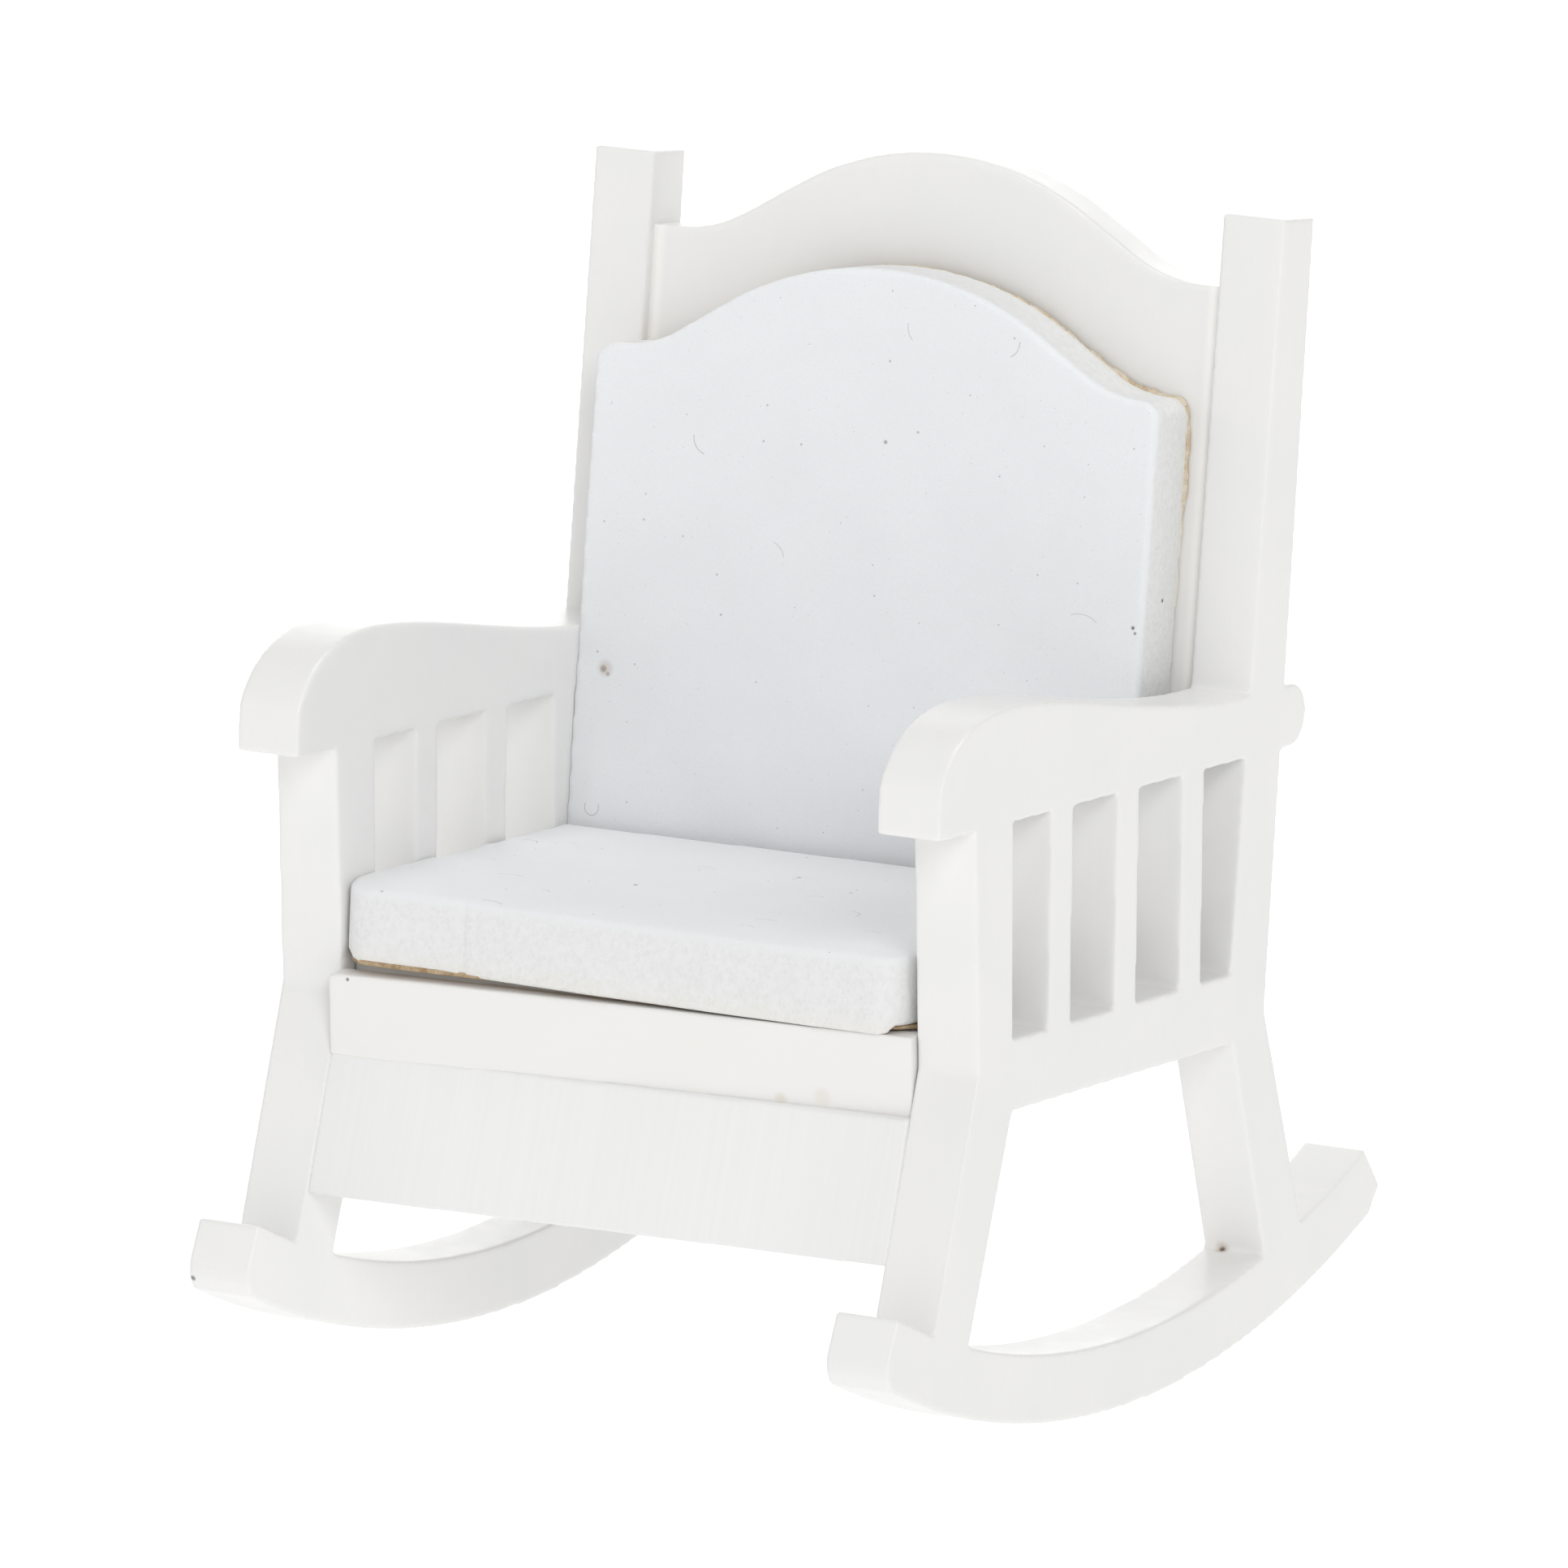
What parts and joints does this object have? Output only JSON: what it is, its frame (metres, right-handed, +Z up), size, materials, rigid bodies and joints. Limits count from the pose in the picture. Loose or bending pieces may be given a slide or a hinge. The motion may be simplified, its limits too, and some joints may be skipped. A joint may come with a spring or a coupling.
{
  "type": "miniature rocking chair",
  "caption": "Dolls' house rocking chair: flush side frames with slatted arms on curved rockers, an arched back board, a deep front apron, and foam seat and back cushions.",
  "frame": {"origin": "on the floor under the middle of the chair's bounding box, with the chair standing at rest on its rockers", "axes": "+X towards the side on the viewer's right when the viewer faces the seat, -Y towards the front of the seat, +Z up"},
  "size_m": [0.06, 0.0782, 0.0889],
  "materials": {
    "painted_wood": "satin",
    "foam": "matte",
    "cushion_face": "matte",
    "tan_backing": "matte"
  },
  "bodies": {
    "root": {"left_rocker": "painted_wood", "left_front_leg": "painted_wood", "left_back_post": "painted_wood", "left_arm": "painted_wood", "left_side_rail": "painted_wood", "left_slat_1": "painted_wood", "left_slat_2": "painted_wood", "left_slat_3": "painted_wood", "right_rocker": "painted_wood", "right_front_leg": "painted_wood", "right_back_post": "painted_wood", "right_arm": "painted_wood", "right_side_rail": "painted_wood", "right_slat_1": "painted_wood", "right_slat_2": "painted_wood", "right_slat_3": "painted_wood", "back_board": "painted_wood", "seat_board": "painted_wood", "seat_front_rail": "painted_wood", "front_apron": "painted_wood", "seat_cushion_foam": "foam", "seat_cushion_face": "cushion_face", "seat_cushion_backing": "tan_backing", "back_cushion_foam": "foam", "back_cushion_face": "cushion_face", "back_cushion_backing": "tan_backing"}
  },
  "joints": []
}
